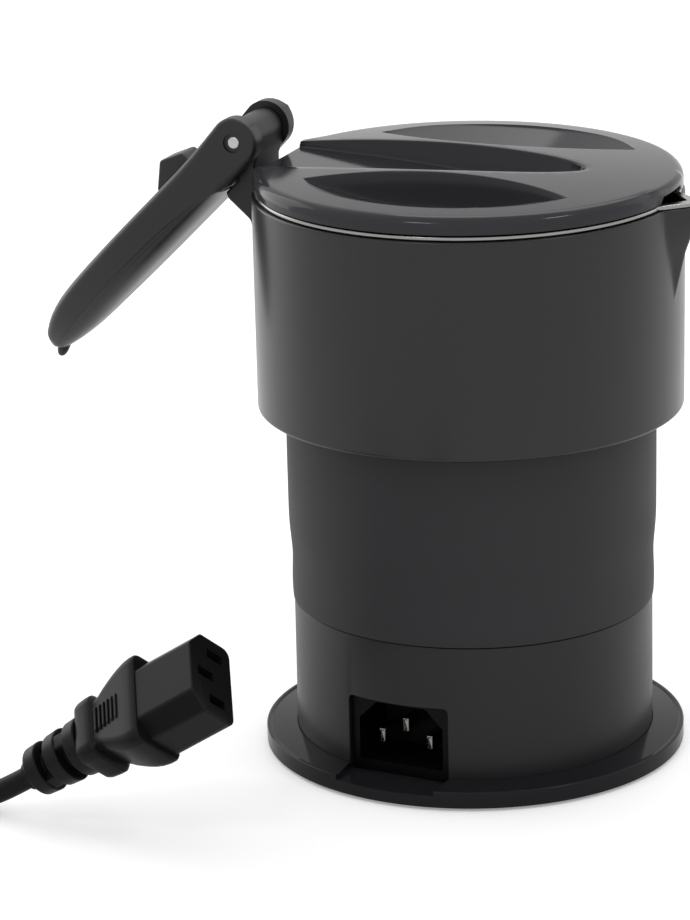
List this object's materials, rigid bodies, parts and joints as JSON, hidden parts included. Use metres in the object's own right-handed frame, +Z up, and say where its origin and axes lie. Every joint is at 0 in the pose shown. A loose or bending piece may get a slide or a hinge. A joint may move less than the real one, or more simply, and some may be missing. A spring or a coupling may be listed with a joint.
{
  "type": "travel kettle",
  "caption": "Collapsible travel kettle: drum base with appliance inlet, silicone wall, rigid upper shell with beak, lift-off lid, fold-over handle, and its mains lead beside it.",
  "frame": {"origin": "middle of the base, on the surface that the kettle stands on", "axes": "+Z up, +X towards the pouring beak, -X towards the handle, -Y the side with the appliance inlet"},
  "size_m": [0.2067, 0.3032, 0.1714],
  "materials": {
    "grey_gloss": "glossy charcoal grey moulded plastic",
    "grey_satin": "satin charcoal grey moulded plastic",
    "grey_silicone": "matt charcoal grey silicone",
    "rim_steel": "polished stainless steel",
    "steel": "brushed stainless steel",
    "contact_metal": "nickel plated brass",
    "aluminium": "plain aluminium",
    "element_sheath": "dull steel tube",
    "black_plastic": "black moulded plastic",
    "black_rubber": "black flexible PVC",
    "foot_rubber": "black rubber",
    "wire_brown": "brown insulation",
    "wire_blue": "blue insulation",
    "wire_green": "green and yellow insulation",
    "lens_red": "clear red plastic"
  },
  "bodies": {
    "base": {"base_plate": "grey_satin", "rubber_feet": "foot_rubber", "plate_screws": "steel", "base_housing": "grey_satin", "inlet_body": "black_plastic", "inlet_pins": "contact_metal", "heating_plate": "steel", "heat_spreader": "aluminium", "heating_element": "element_sheath", "thermostat": "black_plastic", "thermal_fuse": "contact_metal", "live_wire": "wire_brown", "neutral_wire": "wire_blue", "earth_wire": "wire_green", "switch_body": "black_plastic", "indicator_lens": "lens_red", "silicone_wall": "grey_silicone", "lower_hoop": "steel", "connector_body": "black_plastic", "connector_contacts": "contact_metal", "connector_boot": "black_rubber", "cord_lead": "black_rubber", "cord_coil": "black_rubber", "cord_tie": "black_rubber", "cord_tail": "black_rubber", "plug_boot": "black_rubber", "plug_body": "black_plastic", "plug_pins": "contact_metal"},
    "upper": {"upper_shell": "grey_gloss", "steel_rim": "rim_steel", "upper_hoop": "steel", "hinge_bracket": "grey_gloss", "bracket_screws": "steel", "hinge_pin": "steel"},
    "lid": {"lid_cover": "grey_gloss", "lid_base": "grey_satin", "lid_seal": "grey_silicone"},
    "handle": {"handle_frame": "grey_satin", "handle_cover": "grey_gloss"},
    "latch": {"latch_button": "grey_satin"},
    "button": {"power_button": "grey_satin"}
  },
  "joints": [
    {"name": "collapse", "type": "slide", "parent": "base", "child": "upper", "axis": [0, 0, -1], "range_m": [0, 0.09], "deforming": ["silicone_wall"]},
    {"name": "lid_lift", "type": "slide", "parent": "upper", "child": "lid", "axis": [0, 0, 1], "range_m": [0, 0.06]},
    {"name": "handle_fold", "type": "hinge", "parent": "upper", "child": "handle", "pos_m": [-0.0614, 0, 0.165], "axis": [0, 1, 0], "range_deg": [0, 228.4]},
    {"name": "latch_press", "type": "slide", "parent": "handle", "child": "latch", "axis": [0.7071, 0, -0.7071], "range_m": [0, 0.0066]},
    {"name": "power_press", "type": "slide", "parent": "base", "child": "button", "axis": [0, -1, 0], "range_m": [0, 0.0018], "stiffness_N_per_m": 400}
  ],
  "couplings": [
    {"joint": "latch_press", "follows": "handle_fold", "m_per_rad": 0.001655}
  ]
}
